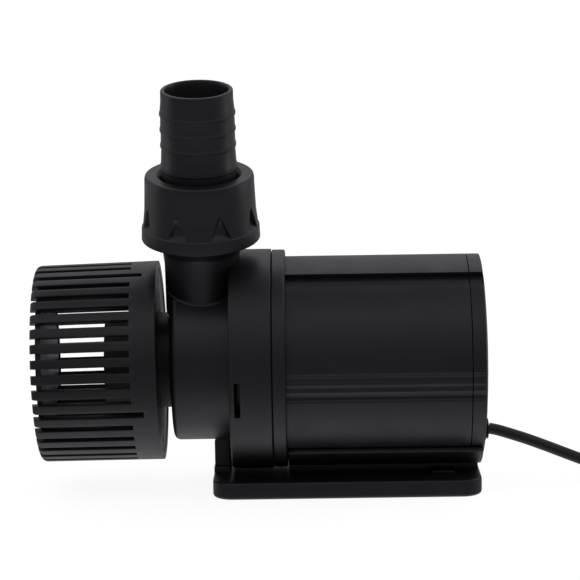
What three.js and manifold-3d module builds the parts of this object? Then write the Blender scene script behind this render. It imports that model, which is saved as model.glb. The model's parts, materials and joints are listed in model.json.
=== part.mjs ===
// Submersible aquarium circulation pump: strainer, twist-lock volute head with a union hose tail,
// canned-rotor motor on a base plate, and a low-voltage lead with a round locking connector.
// Millimetres, +Z up. X runs along the pump axis, with the strainer at -X and the lead at +X.
// The origin is on the floor under the middle of the base plate.
import * as THREE from 'three';
import { mergeVertices } from 'three/addons/utils/BufferGeometryUtils.js';
import Module from 'manifold-3d';

const wasm = await Module();
wasm.setup();

// Driving dimensions
const axisHeight = 56.9;          // pump axis above the floor
const headLean = 12.4;            // degrees that the head is turned from upright, towards -Y
const strainerDroop = 1.1;        // degrees that the loose push fit lets the strainer hang
const gap = 0.3;                  // clearance between touching pieces
const roundSteps = 36;            // sides of a large turned piece
const mediumSteps = 24;
const smallSteps = 14;

const motor = { radius: 45.2, wall: 3, flangeRadius: 48.2, flangeFront: -31.8, flangeBack: -26, back: 53.7 };
const spigot = { radius: 42, wall: 3.2, front: -47.6, bulkhead: 3 };
const head = {
  frontFace: -75.9, radius: 35.6, wall: 2.8, step: -50.4, ringRadius: 48.6, ringInner: 45.6,
  ringBack: -32.1, neckRadius: 21.1, neckBore: 18.5, neckFront: -105.6, throat: 15.5,
};
const lug = { count: 3, arc: 16, radius: 45.2, width: 2.4 };
const outlet = {
  x: -62.3, bore: 13.3, towerFoot: 16, towerTop: 17, towerEnd: 56, threadRadius: 20.2, threadEnd: 78.6,
};
const nut = { bottom: 57.4, rimTop: 63.5, top: 86.6, rim: 25.9, body: 23.8, bore: 20.6, opening: 16.9 };
const tail = { flangeBottom: 80.6, flangeTop: 83.2, flange: 19.6, top: 124.3, bore: 13.4, lip: 15.6 };
const rotor = {
  can: 16.6, canWall: 1.4, canBack: 16, magnet: 15.8, sleeve: 6.7, shaft: 3, front: -46, back: 8.5,
};
const impeller = {
  radius: 25, vanes: 6, vaneFront: -68, disc: -53.5, discBack: -51.5, hub: 7.5, hubFront: -70,
};
const stator = { radius: 37, yoke: 31, tip: 18.6, tooth: 9, front: -30, back: 2, teeth: 6 };
const basket = {
  back: -81.5, front: -135.4, backRadius: 44.1, frontRadius: 43.5, wall: 3, slots: 40, slotWidth: 2.9,
  slotEnd: -92.5, longSlotEnd: -87.5, slotFloor: 40.6, plateFront: -133.2, plateBack: -131.6, corner: 2.2,
  firstSlot: 4.5, firstLong: 67.5,
};
const plate = { length: 117.6, width: 66, corner: 9, bottom: 0, top: 7.6 };
const cradle = { front: -25.6, back: 59.3, inner: 45.5, outer: 47.7, halfAngle: 39, web: 8 };
const frontRest = { front: -58.4, back: -51.5, halfWidth: 8, radius: 36.2, footHeight: 2.6, footSpread: 2.4 };
const foot = { radius: 7, height: 2.2, x: 47, y: 22 };
const screw = { x: [16, 44], head: 3.6, shank: 1.6, top: 18.8 };
const channel = { angles: [57.5, 122.5], arc: 10, depth: 1.6 };
const lead = { radius: 2.5, exitHeight: -33.2 };
const coil = { x: 160, y: 20, middle: 27.5, inner: 19.4, outer: 35.6, bottom: 1.4, top: 20.6 };
const connector = { body: 7, collar: 8.5, start: 62 };

// Solids and turned shapes

function cleaned(geometry) {
  // Shares vertices, drops flat triangles and turns the faces outwards.
  const bare = geometry.index ? geometry.toNonIndexed() : geometry.clone();
  bare.deleteAttribute('normal');
  bare.deleteAttribute('uv');
  const merged = mergeVertices(bare, 1e-4);
  const index = merged.index.array;
  const place = merged.attributes.position;
  const corner = [new THREE.Vector3(), new THREE.Vector3(), new THREE.Vector3()];
  const kept = [];
  let volume = 0;
  for (let i = 0; i < index.length; i += 3) {
    const [a, b, c] = [index[i], index[i + 1], index[i + 2]];
    if (a === b || b === c || c === a) continue;
    kept.push(a, b, c);
    [a, b, c].forEach((vertex, k) => corner[k].fromBufferAttribute(place, vertex));
    volume += corner[0].dot(corner[1].cross(corner[2]));
  }
  if (volume < 0) {
    for (let i = 0; i < kept.length; i += 3) [kept[i], kept[i + 1]] = [kept[i + 1], kept[i]];
  }
  merged.setIndex(kept);
  return merged;
}

function solid(geometry) {
  const closed = cleaned(geometry);
  const triVerts = new Uint32Array(closed.index.array);
  const vertProperties = new Float32Array(closed.attributes.position.array);
  return new wasm.Manifold(new wasm.Mesh({ numProp: 3, vertProperties, triVerts }));
}

function geometryOf(manifold) {
  const mesh = manifold.getMesh();
  const geometry = new THREE.BufferGeometry();
  geometry.setAttribute('position', new THREE.BufferAttribute(new Float32Array(mesh.vertProperties), 3));
  geometry.setIndex(new THREE.BufferAttribute(new Uint32Array(mesh.triVerts), 1));
  return geometry;
}

// Profile points are [station along the axis, radius].
function turned(profile, steps, closed = true) {
  const points = profile.map(([station, radius]) => new THREE.Vector2(radius, station));
  if (closed) points.push(points[0].clone());
  return cleaned(new THREE.LatheGeometry(points, steps));
}

const alongX = (geometry) => geometry.rotateZ(-Math.PI / 2);     // turned about Y, laid along +X
const alongZ = (geometry) => geometry.rotateX(Math.PI / 2);      // turned about Y, stood along +Z

function tube(front, back, inner, outer, steps) {
  return turned([[front, inner], [front, outer], [back, outer], [back, inner]], steps);
}

function rod(front, back, radius, steps) {
  return turned([[front, 0], [front, radius], [back, radius], [back, 0]], steps, false);
}

function block(x0, x1, y0, y1, z0, z1) {
  const shape = new THREE.BoxGeometry(x1 - x0, y1 - y0, z1 - z0);
  return shape.translate((x0 + x1) / 2, (y0 + y1) / 2, (z0 + z1) / 2);
}

// A block that reaches outwards from the pump axis, centred on an angle above the -Y horizontal.
function radialBlock(x0, x1, r0, r1, width, angle) {
  return block(x0, x1, -r1, -r0, -width / 2, width / 2).rotateX(-THREE.MathUtils.degToRad(angle));
}

// A curved bar about the pump axis, centred on an angle above the -Y horizontal.
function arcBar(x0, x1, r0, r1, arc, angle) {
  const half = THREE.MathUtils.degToRad(arc / 2);
  const shape = new THREE.Shape();
  shape.absarc(0, 0, r1, -half, half, false);
  shape.absarc(0, 0, r0, half, -half, true);
  const bar = new THREE.ExtrudeGeometry(shape, { depth: x1 - x0, bevelEnabled: false, curveSegments: 6 });
  bar.applyMatrix4(new THREE.Matrix4().makeBasis(
    new THREE.Vector3(0, -1, 0), new THREE.Vector3(0, 0, 1), new THREE.Vector3(-1, 0, 0)));
  return bar.translate(x1, 0, 0).rotateX(-THREE.MathUtils.degToRad(angle));
}

function joined(first, others) {
  return others.reduce((whole, piece) => whole.add(solid(piece)), first);
}

function cut(first, tools) {
  return tools.reduce((whole, piece) => whole.subtract(solid(piece)), first);
}

// Scene graph

const pump = new THREE.Group();
const onAxis = new THREE.Group();
onAxis.position.z = axisHeight;
pump.add(onAxis);
const headGroup = new THREE.Group();
headGroup.rotation.x = THREE.MathUtils.degToRad(headLean);
onAxis.add(headGroup);
const outletGroup = new THREE.Group();
outletGroup.position.x = outlet.x;
headGroup.add(outletGroup);
const strainerGroup = new THREE.Group();
const strainerPivot = -79;
strainerGroup.rotation.y = -THREE.MathUtils.degToRad(strainerDroop);
strainerGroup.position.x = strainerPivot;
onAxis.add(strainerGroup);

function finish(color, roughness, metalness = 0) {
  return new THREE.MeshStandardMaterial({ color, roughness, metalness });
}

const blackPlastic = finish(0x17181b, 0.5);
const darkPlastic = finish(0x131416, 0.6);
const rubber = finish(0x101010, 0.85);
const cordRubber = finish(0x1a1a1a, 0.65);
const ceramic = finish(0xe9e6dc, 0.3);
const steel = finish(0xb9bcc0, 0.35, 1);
const lamination = finish(0x6d7074, 0.45, 1);
const copper = finish(0xb4653a, 0.35, 1);
const magnetCoat = finish(0x3b3d42, 0.55, 0.2);
const boardGreen = finish(0x1f5a38, 0.5);

function add(group, name, geometry, material) {
  const mesh = new THREE.Mesh(cleaned(geometry), material);
  mesh.name = name;
  group.add(mesh);
}

// Tools for the two shallow channels that run along the shoulders of the housing and its cap.
function shoulderChannels(front, back) {
  return channel.angles.map((angle) => (
    arcBar(front, back, motor.radius - channel.depth, motor.radius + 2, channel.arc, angle)));
}

// Motor housing: flanged shell, front spigot with bayonet lugs, bulkhead and screw bosses
function motorHousing() {
  const innerRadius = motor.radius - motor.wall;
  const spigotInner = spigot.radius - spigot.wall;
  const canHole = rotor.can + rotor.canWall + 0.4;
  let shell = solid(alongX(turned([
    [spigot.front, canHole], [spigot.front, spigot.radius], [motor.flangeFront, spigot.radius],
    [motor.flangeFront, motor.flangeRadius], [motor.flangeBack, motor.flangeRadius],
    [motor.flangeBack, motor.radius], [motor.back, motor.radius], [motor.back, innerRadius],
    [motor.flangeFront + 3, innerRadius], [motor.flangeFront + 3, spigotInner],
    [spigot.front + spigot.bulkhead, spigotInner], [spigot.front + spigot.bulkhead, canHole],
  ], roundSteps)));
  const lugs = [];
  for (let i = 0; i < lug.count; i += 1) {
    const angle = (i * 360) / lug.count;
    lugs.push(arcBar(spigot.front, spigot.front + lug.width, spigot.radius - 1, lug.radius, lug.arc, angle));
  }
  const bosses = screw.x.map((x) => alongZ(rod(-innerRadius - 1, -37.6, 4, smallSteps)).translate(x, 0, 0));
  shell = joined(shell, [...lugs, ...bosses]);
  const pilots = screw.x.map((x) => (
    alongZ(rod(-motor.radius - 1, screw.top + 0.7 - axisHeight, screw.shank + gap, smallSteps))
      .translate(x, 0, 0)));
  const sealGroove = alongX(tube(spigot.front - 1, spigot.front + 1.4, 39.2, 41.1, roundSteps));
  const channels = shoulderChannels(motor.flangeBack, motor.back + 1);
  return geometryOf(cut(shell, [...pilots, sealGroove, ...channels]));
}

function rearCap() {
  const { radius } = motor;
  const body = solid(alongX(turned([
    [48, 39.3], [48, 41.8], [50, 41.8], [50, 40.6], [52, 40.6], [52, 41.8], [54, 41.8], [54, radius],
    [59.2, radius], [59.7, radius - 0.5], [60.4, 42], [61.5, 30], [62.2, 15], [62.5, 0],
    [59.7, 0], [58.5, 30], [57, 39.3],
  ], roundSteps)));
  const opening = alongX(rod(50, 70, 4, smallSteps)).translate(0, 0, lead.exitHeight);
  return geometryOf(cut(body, [opening, ...shoulderChannels(53, 63)]));
}

function statorCore() {
  const outline = new THREE.Shape();
  outline.absarc(0, 0, stator.radius, 0, Math.PI * 2, false);
  const inside = new THREE.Path();
  const half = stator.tooth / 2;
  const tipHalf = half + 1.6;
  const pitch = (Math.PI * 2) / stator.teeth;
  for (let i = 0; i < stator.teeth; i += 1) {
    const turn = -i * pitch;
    const corner = (along, across) => new THREE.Vector2(along, across).rotateAround(new THREE.Vector2(), turn);
    const side = (sign) => [
      corner(stator.tip, sign * tipHalf), corner(stator.tip + 2, sign * tipHalf),
      corner(stator.tip + 2, sign * half),
      corner(Math.sqrt(stator.yoke ** 2 - half ** 2), sign * half),
    ];
    const down = side(1).reverse();
    const up = side(-1);
    [...down, corner(stator.tip, 0), ...up].forEach((point, k) => {
      if (i === 0 && k === 0) inside.moveTo(point.x, point.y);
      else inside.lineTo(point.x, point.y);
    });
    const middle = turn - pitch / 2;
    inside.lineTo(stator.yoke * Math.cos(middle), stator.yoke * Math.sin(middle));
  }
  inside.closePath();
  outline.holes.push(inside);
  const depth = stator.back - stator.front;
  const core = new THREE.ExtrudeGeometry(outline, { depth, bevelEnabled: false, curveSegments: roundSteps });
  return core.rotateY(Math.PI / 2).translate(stator.front, 0, 0);
}

function statorCoil(number) {
  const around = (x, half, r0, r1) => block(stator.front - x, stator.back + x, -half, half, r0, r1);
  const loop = solid(around(4, 8, 22, 28.6)).subtract(solid(around(gap, stator.tooth / 2 + gap, 20, 32)));
  return geometryOf(loop).rotateX(Math.PI - (number * Math.PI * 2) / stator.teeth);
}

function rotorCan() {
  const outer = rotor.can + rotor.canWall;
  const boss = rotor.canBack - 2;
  return alongX(turned([
    [-49.2, rotor.can], [-49.2, 24], [-47.9, 24], [-47.9, outer], [rotor.canBack, outer], [rotor.canBack, 0],
    [boss, 0], [boss, 5], [boss - 4.5, 5], [boss - 4.5, 7], [boss, 7], [boss, rotor.can],
  ], mediumSteps));
}

// Volute head: throat and neck, volute, bayonet ring, outlet tower and shaft spider
function voluteCover() {
  const inner = head.radius - head.wall;
  const seat = head.step + 2;
  let cover = solid(alongX(turned([
    [head.neckFront, head.neckBore], [head.neckFront, head.neckRadius], [head.frontFace - 1.5, head.neckRadius],
    [head.frontFace, head.neckRadius + 1.5], [head.frontFace, head.radius - 2.4],
    [head.frontFace + 0.7, head.radius - 0.7], [head.frontFace + 2.4, head.radius],
    [head.step, head.radius], [head.step, head.ringRadius], [head.ringBack, head.ringRadius],
    [head.ringBack, head.ringInner], [seat, head.ringInner], [seat, inner],
    [head.frontFace + 3, inner], [head.frontFace + 3, head.throat], [head.frontFace - 1, head.throat],
    [head.frontFace - 3, head.neckBore],
  ], roundSteps)));
  const tower = alongZ(turned([
    [24, 0], [24, outlet.towerFoot], [outlet.towerEnd - 4, outlet.towerTop],
    [outlet.towerEnd, outlet.threadRadius],
    [outlet.threadEnd, outlet.threadRadius], [outlet.threadEnd, 0],
  ], mediumSteps, false)).translate(outlet.x, 0, 0);
  const chamber = alongX(rod(head.frontFace + 3, seat, inner, roundSteps));
  const ringHollow = alongX(rod(seat, 0, head.ringInner, roundSteps));
  cover = cover.add(cut(solid(tower), [chamber, ringHollow]));
  const bore = alongZ(rod(0, outlet.threadEnd + 1, outlet.bore, mediumSteps)).translate(outlet.x, 0, 0);
  cover = cut(cover, [bore]);
  const spiderFront = head.frontFace - 3.1;
  const spider = [alongX(rod(spiderFront, head.frontFace + 2.9, 6.5, smallSteps))];
  const ledges = [];
  const windows = [];
  for (let i = 0; i < lug.count; i += 1) {
    const angle = (i * 360) / lug.count;
    spider.push(radialBlock(spiderFront + 0.4, head.frontFace + 2, 5, head.throat + 1, 2, angle + 30));
    const ledgeFront = spigot.front + lug.width + gap;
    ledges.push(arcBar(ledgeFront, ledgeFront + 2.4, spigot.radius + 0.4, head.ringInner + 0.5, 20, angle));
    windows.push(arcBar(seat + 0.2, seat + 2.6, head.ringInner - 1, head.ringRadius + 1, 19, angle));
  }
  cover = joined(cover, [...spider, ...ledges]);
  const bushPocket = alongX(rod(head.frontFace - 1.1, head.frontFace + 4, 5, smallSteps));
  return geometryOf(cut(cover, [...windows, bushPocket]));
}

function hoseTail() {
  return alongZ(turned([
    [tail.flangeBottom, tail.bore], [tail.flangeBottom, tail.flange], [tail.flangeTop, tail.flange],
    [tail.flangeTop, 16.2], [89, 16.2], [91.5, 16.5], [93, 16.3], [98.6, 16], [99.2, 16], [99.6, 16.4],
    [100.4, 16.35],
    [105, 15.95], [106, 15.95], [106.4, 16.35], [107.2, 16.3], [112, 15.95], [112.8, 15.95], [113.2, 16.4],
    [114.2, 16.35], [120.5, tail.lip], [tail.top - 0.6, tail.lip], [tail.top, tail.lip - 0.5],
    [tail.top, tail.bore],
  ], mediumSteps));
}

function unionNut() {
  return alongZ(turned([
    [nut.bottom, nut.bore], [nut.bottom, nut.rim], [nut.rimTop, nut.rim - 0.3], [nut.rimTop + 0.8, 24.7],
    [70, 24.3], [81, nut.body], [nut.top - 1.2, nut.body - 0.1], [nut.top, nut.body - 0.8],
    [nut.top, nut.opening], [tail.flangeTop + gap, nut.opening], [tail.flangeTop + gap, nut.bore],
  ], roundSteps));
}

// Strainer: slotted cup whose bars end just ahead of its closed front, and its push-on back plate
function strainerBasket() {
  const inside = basket.backRadius - basket.wall;
  const cup = solid(alongX(turned([
    [basket.back, inside], [basket.back, basket.backRadius],
    [basket.front + basket.corner, basket.frontRadius],
    [basket.front + 0.65, basket.frontRadius - 0.65], [basket.front, basket.frontRadius - basket.corner],
    [basket.front, inside - 0.6], [basket.plateFront, inside - 0.6], [basket.plateFront, 0],
    [basket.plateBack, 0], [basket.plateBack, inside - 0.6],
  ], basket.slots)).rotateX(THREE.MathUtils.degToRad(360 / basket.slots / 2)));
  const slots = [];
  for (let i = 0; i < basket.slots; i += 1) {
    const angle = basket.firstSlot + (i * 360) / basket.slots;
    const long = Math.abs((angle - basket.firstLong) % 90) < 1;
    const end = long ? basket.longSlotEnd : basket.slotEnd;
    const outer = basket.backRadius + 2;
    slots.push(radialBlock(basket.front - 1, end, basket.slotFloor, outer, basket.slotWidth, angle));
  }
  return geometryOf(cut(cup, slots)).translate(-strainerPivot, 0, 0);
}

function strainerBack() {
  const outer = basket.backRadius - basket.wall - gap;
  const disc = solid(alongX(tube(-85, -82, head.neckRadius + 0.5, outer, roundSteps)));
  const holes = [];
  [97, 277].forEach((angle) => [29.4, 35.2].forEach((radius) => {
    const hole = alongX(rod(-90, -80, 1.7, 12)).translate(0, -radius, 0);
    holes.push(hole.rotateX(-THREE.MathUtils.degToRad(angle)));
  }));
  return geometryOf(cut(disc, holes)).translate(-strainerPivot, 0, 0);
}

function impellerWheel() {
  let wheel = solid(alongX(turned([
    [impeller.hubFront, 3.4], [impeller.hubFront, impeller.hub - 1.5], [impeller.vaneFront, impeller.hub],
    [impeller.disc, impeller.hub], [impeller.disc, impeller.radius], [impeller.discBack, impeller.radius],
    [impeller.discBack, impeller.hub], [rotor.front - gap, impeller.hub], [rotor.front - gap, 3.4],
  ], mediumSteps)));
  const vanes = [];
  for (let i = 0; i < impeller.vanes; i += 1) {
    const angle = (i * 360) / impeller.vanes;
    const vane = block(impeller.vaneFront, impeller.disc + 0.5, -24.4, -5.6, -4, -2);
    vanes.push(vane.rotateX(-THREE.MathUtils.degToRad(angle)));
  }
  wheel = joined(wheel, vanes);
  return geometryOf(wheel);
}

// Base plate with a rest under the volute and a cradle round the motor
function basePlate() {
  const x = plate.length / 2;
  const y = plate.width / 2;
  const r = plate.corner;
  const outline = new THREE.Shape();
  outline.absarc(x - r, y - r, r, 0, Math.PI / 2, false);
  outline.absarc(-x + r, y - r, r, Math.PI / 2, Math.PI, false);
  outline.absarc(-x + r, -y + r, r, Math.PI, Math.PI * 1.5, false);
  outline.absarc(x - r, -y + r, r, Math.PI * 1.5, Math.PI * 2, false);
  const depth = plate.top - plate.bottom;
  const slab = new THREE.ExtrudeGeometry(outline, { depth, bevelEnabled: false, curveSegments: 6 });
  const restTop = axisHeight - 28;
  const { front, back, halfWidth, footSpread, footHeight } = frontRest;
  const web = axisHeight - cradle.outer + 1.2;
  const parts = [
    block(front, back, -halfWidth, halfWidth, plate.top - 1, restTop),
    block(front, back, -halfWidth - footSpread, halfWidth + footSpread, plate.top - 1, plate.top + footHeight),
    arcBar(cradle.front, cradle.back, cradle.inner, cradle.outer, cradle.halfAngle * 2, -90)
      .translate(0, 0, axisHeight),
    block(cradle.front, plate.length / 2, -cradle.web, cradle.web, plate.top - 1, web),
    block(37.5, 47.5, -17, 17, plate.top - 1, plate.top + 0.9),
  ];
  const holes = [alongX(rod(front - 1, back + 1, frontRest.radius, roundSteps)).translate(0, 0, axisHeight)];
  const seat = alongX(rod(cradle.front - 1, cradle.back + 1, cradle.inner, roundSteps));
  holes.push(seat.translate(0, 0, axisHeight));
  [-1, 1].forEach((sx) => [-1, 1].forEach((sy) => {
    const recess = alongZ(rod(plate.bottom - 1, foot.height + gap, foot.radius + gap, smallSteps));
    holes.push(recess.translate(sx * foot.x, sy * foot.y, 0));
  }));
  screw.x.forEach((sx) => {
    holes.push(alongZ(rod(-1, 4, screw.head + gap, smallSteps)).translate(sx, 0, 0));
    holes.push(alongZ(rod(-1, 20, screw.shank + gap, smallSteps)).translate(sx, 0, 0));
  });
  const blank = solid(slab.translate(0, 0, plate.bottom));
  return geometryOf(cut(joined(blank, parts), holes));
}

function baseScrew(x) {
  const profile = [[1.2, 0], [1.2, screw.head - 0.4], [1.6, screw.head], [3.7, screw.head], [3.7, screw.shank],
    [screw.top - 1.5, screw.shank], [screw.top, 0]];
  return alongZ(turned(profile, smallSteps, false)).translate(x, 0, 0);
}

// The lead leaves the rear cap, falls to the floor and runs into the coil's first turn.
const leadRoute = [
  [64.4, 0, 23.6], [67, 0, 23.05], [74, 0, 20.9], [82, -0.2, 18.2], [90, -0.6, 15.2], [98, -1.2, 12.1],
  [106, -2, 9.1], [114, -3, 6.4], [121, -4.3, 4.4], [127, -5.8, 3.2], [132, -7, 2.65], [134, -7.4, 2.55],
];

// The lead's end drops from the coil's last turn into the connector.
const endRoute = [
  [187.5, 46.6, 16.4], [187.5, 49.5, 14.6], [187.5, 53, 11.8],
  [187.5, 56.5, 9.7], [187.5, 59.5, 8.8], [187.5, 61.6, 8.6],
];

function leadTube(points, radius, steps) {
  const places = points.map(([x, y, z]) => new THREE.Vector3(x, y, z));
  const path = new THREE.CatmullRomCurve3(places, false, 'centripetal');
  const section = new THREE.Shape();
  section.absarc(0, 0, radius, 0, Math.PI * 2, false);
  return new THREE.ExtrudeGeometry(section, { steps, extrudePath: path, curveSegments: 5, bevelEnabled: false });
}

function cordCoil() {
  const { inner, outer, bottom, top } = coil;
  const bevel = 3.5;
  return alongZ(turned([
    [bottom, inner + bevel], [bottom, outer - bevel], [bottom + bevel, outer], [top - bevel, outer],
    [top, outer - bevel], [top, inner + bevel], [top - bevel, inner], [bottom + bevel, inner],
  ], mediumSteps)).translate(coil.x, coil.y, 0);
}

function coilTie() {
  const band = 0.9;
  const innerReach = coil.inner - 0.8;       // clears the coil's hollow side across the band's width
  const frame = (spread, y) => block(innerReach - spread, coil.outer + spread, -y, y, coil.bottom - spread,
    coil.top + spread);
  const loop = solid(frame(gap + band, 5)).subtract(solid(frame(gap, 6)));
  return geometryOf(loop).rotateZ(THREE.MathUtils.degToRad(-50)).translate(coil.x, coil.y, 0);
}

function connectorBody() {
  const { start, body } = connector;
  const profile = [
    [start, 0], [start, 4], [start + 8, 5], [start + 8, body], [start + 18, body], [start + 18, 5.4],
    [start + 32, 5.4], [start + 32, 0]];
  return turned(profile, smallSteps, false).translate(coil.x + coil.middle, 0, connector.collar + 0.1);
}

function connectorCollar() {
  const front = connector.start + 18 + gap;
  const profile = [[front, 5.8], [front, connector.collar], [front + 11, connector.collar], [front + 13, 7.8],
    [front + 13, 5.8]];
  return turned(profile, mediumSteps).translate(coil.x + coil.middle, 0, connector.collar + 0.1);
}

// Motor and base
add(onAxis, 'motor_housing', motorHousing(), blackPlastic);
add(onAxis, 'rear_cap', rearCap(), blackPlastic);
add(onAxis, 'rear_seal', alongX(tube(50.3, 51.7, 40.9, 41.9, roundSteps)), rubber);
add(onAxis, 'head_seal', alongX(tube(-48.1, -46.5, 39.5, 40.8, roundSteps)), rubber);
add(onAxis, 'rotor_can', rotorCan(), darkPlastic);
add(onAxis, 'stator_core', statorCore(), lamination);
for (let i = 0; i < stator.teeth; i += 1) add(onAxis, `stator_coil_${i + 1}`, statorCoil(i), copper);
add(onAxis, 'sensor_board', alongX(tube(8, 9.6, rotor.can + rotor.canWall + 0.6, 33, mediumSteps)), boardGreen);
add(onAxis, 'ceramic_shaft', alongX(rod(-76.6, 13.4, rotor.shaft, smallSteps)), ceramic);
add(onAxis, 'rear_bush', alongX(tube(9.8, 13.7, rotor.shaft + gap, 4.7, smallSteps)), rubber);
const gland = alongX(turned([
  [54, 0], [54, 5.2], [56.4, 5.2], [56.4, 3.6], [62, 3.6], [62, 4.4], [63.1, 4.4], [63.6, 3.6], [63.6, 0],
], smallSteps, false)).translate(0, 0, lead.exitHeight);
add(onAxis, 'cable_gland', gland, rubber);
add(pump, 'base_plate', basePlate(), blackPlastic);
let footNumber = 0;
for (const sx of [-1, 1]) {
  for (const sy of [-1, 1]) {
    footNumber += 1;
    const pad = alongZ(rod(0, foot.height, foot.radius, smallSteps)).translate(sx * foot.x, sy * foot.y, 0);
    add(pump, `rubber_foot_${footNumber}`, pad, rubber);
  }
}
screw.x.forEach((x, i) => add(pump, `base_screw_${i + 1}`, baseScrew(x), steel));

// Rotor
const sleeve = alongX(tube(rotor.front, rotor.back, 3.4, rotor.sleeve, smallSteps));
add(onAxis, 'rotor_magnet', alongX(tube(-44, 7, rotor.sleeve + gap, rotor.magnet, mediumSteps)), magnetCoat);
add(onAxis, 'rotor_sleeve', sleeve, darkPlastic);
add(onAxis, 'impeller', impellerWheel(), darkPlastic);
add(onAxis, 'thrust_washer', alongX(tube(-72.3, -70.3, 3.4, 5.6, smallSteps)), ceramic);

// Head, hose tail and union nut
add(headGroup, 'volute_cover', voluteCover(), blackPlastic);
add(headGroup, 'front_bush', alongX(tube(-76.7, -73.2, rotor.shaft + gap, 4.7, smallSteps)), rubber);
add(outletGroup, 'hose_tail', hoseTail(), blackPlastic);
add(outletGroup, 'tail_gasket', alongZ(tube(outlet.threadEnd + gap, 80.3, 14, 19, mediumSteps)), rubber);
add(outletGroup, 'union_nut', unionNut(), blackPlastic);

// Strainer
add(strainerGroup, 'strainer_basket', strainerBasket(), blackPlastic);
add(strainerGroup, 'strainer_back', strainerBack(), darkPlastic);

// Lead, its coil and its connector
add(pump, 'power_cord', leadTube(leadRoute, lead.radius, 16), cordRubber);
add(pump, 'cord_coil', cordCoil(), cordRubber);
add(pump, 'coil_tie', coilTie(), rubber);
add(pump, 'cord_end', leadTube(endRoute, lead.radius, 8), cordRubber);
add(pump, 'connector_body', connectorBody(), darkPlastic);
add(pump, 'connector_collar', connectorCollar(), darkPlastic);

export default pump;
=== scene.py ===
import json
from math import acos, cos, pi, radians, sin

import bmesh
import bpy
import numpy as np
from mathutils import Matrix, Vector


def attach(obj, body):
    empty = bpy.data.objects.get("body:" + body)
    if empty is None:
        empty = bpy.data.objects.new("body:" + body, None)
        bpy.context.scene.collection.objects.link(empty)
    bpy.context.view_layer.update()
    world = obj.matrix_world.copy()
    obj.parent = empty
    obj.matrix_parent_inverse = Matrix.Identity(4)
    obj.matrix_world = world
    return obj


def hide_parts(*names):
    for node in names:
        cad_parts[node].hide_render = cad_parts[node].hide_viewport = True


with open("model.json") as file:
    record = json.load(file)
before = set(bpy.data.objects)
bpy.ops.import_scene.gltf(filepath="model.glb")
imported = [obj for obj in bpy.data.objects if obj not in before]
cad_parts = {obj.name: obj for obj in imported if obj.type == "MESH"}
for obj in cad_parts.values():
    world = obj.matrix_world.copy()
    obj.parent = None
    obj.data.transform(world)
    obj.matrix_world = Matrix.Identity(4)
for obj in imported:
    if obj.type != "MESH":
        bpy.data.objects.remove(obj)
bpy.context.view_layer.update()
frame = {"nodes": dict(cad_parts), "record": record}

# Lengths in the dictionaries are millimetres, and angles degrees.
mm = 0.001
pump = {"axisHeight": 56.9, "headLean": 12.4, "outletX": -62.3, "strainerPivot": -79, "strainerDroop": 1.1}


# A shift in millimetres.
def moved(x, y, z):
    return Matrix.Translation((x * mm, y * mm, z * mm))


onAxis = moved(0, 0, pump["axisHeight"])
inHead = onAxis @ Matrix.Rotation(radians(pump["headLean"]), 4, "X")
inOutlet = inHead @ moved(pump["outletX"], 0, 0)
inStrainer = (
    moved(pump["strainerPivot"], 0, pump["axisHeight"])
    @ Matrix.Rotation(-radians(pump["strainerDroop"]), 4, "Y")
    @ moved(-pump["strainerPivot"], 0, 0)
)
inPlace = Matrix.Identity(4)

camera = {"lens": 149, "sensor": 36, "farthest": 100000, "x": -14.8, "y": -1052, "aboveAxis": 182.0, "yaw": -0.50,
          "pitch": 8.2, "roll": -0.91}


# The view direction is turned by yaw about Z and dipped by pitch; roll turns right and up about it.
def makeCamera(values):
    yaw, pitch, roll = (radians(values[key]) for key in ("yaw", "pitch", "roll"))
    forward = Vector((sin(yaw) * cos(pitch), cos(yaw) * cos(pitch), -sin(pitch)))
    flatRight = Vector((cos(yaw), -sin(yaw), 0))
    flatUp = flatRight.cross(forward)
    right = cos(roll) * flatRight + sin(roll) * flatUp
    up = -sin(roll) * flatRight + cos(roll) * flatUp
    data = bpy.data.cameras.new("camera")
    data.lens = values["lens"]
    data.sensor_width = values["sensor"]
    data.clip_end = values["farthest"] * mm
    view = bpy.data.objects.new("camera", data)
    bpy.context.collection.objects.link(view)
    place = Matrix((right, up, -forward)).transposed().to_4x4()
    height = pump["axisHeight"] + values["aboveAxis"]
    place.translation = Vector((values["x"], values["y"], height)) * mm
    view.matrix_world = place
    bpy.context.scene.camera = view


makeCamera(camera)


# Each corner is (station, radius, rounding); a rounding replaces it with a tangent arc of that radius.
def roundedProfile(corners, loop=True, arcSteps=5):
    spots = np.array([corner[:2] for corner in corners], float)
    line = []
    for i, corner in enumerate(corners):
        isEnd = not loop and i in (0, len(corners) - 1)
        rounding = corner[2] if len(corner) > 2 else 0
        if isEnd or rounding == 0:
            line.append(spots[i])
            continue
        before = spots[i - 1] - spots[i]
        after = spots[(i + 1) % len(corners)] - spots[i]
        before, after = before / np.linalg.norm(before), after / np.linalg.norm(after)
        half = acos(np.clip(before @ after, -1, 1)) / 2
        centre = spots[i] + (before + after) / np.linalg.norm(before + after) * rounding / sin(half)
        reach = rounding / np.tan(half)
        start, end = spots[i] + before * reach - centre, spots[i] + after * reach - centre
        share = np.linspace(0, 1, arcSteps + 1)[:, None]
        whole = acos(np.clip(start @ end / rounding**2, -1, 1))
        arc = (np.sin((1 - share) * whole) * start + np.sin(share * whole) * end) / sin(whole)
        line.extend(centre + arc)
    return np.array(line)


# A grid of rows x columns becomes quads; either direction can close on itself.
def gridFaces(rows, columns, closeRows, closeColumns, first=0):
    row = np.arange(rows if closeRows else rows - 1)[:, None]
    column = np.arange(columns if closeColumns else columns - 1)[None, :]
    nextRow, nextColumn = (row + 1) % rows, (column + 1) % columns
    quads = [row * columns + column, nextRow * columns + column,
             nextRow * columns + nextColumn, row * columns + nextColumn]
    return first + np.stack([np.broadcast_to(q, (row.size, column.size)) for q in quads], -1).reshape(-1, 4)


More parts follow.
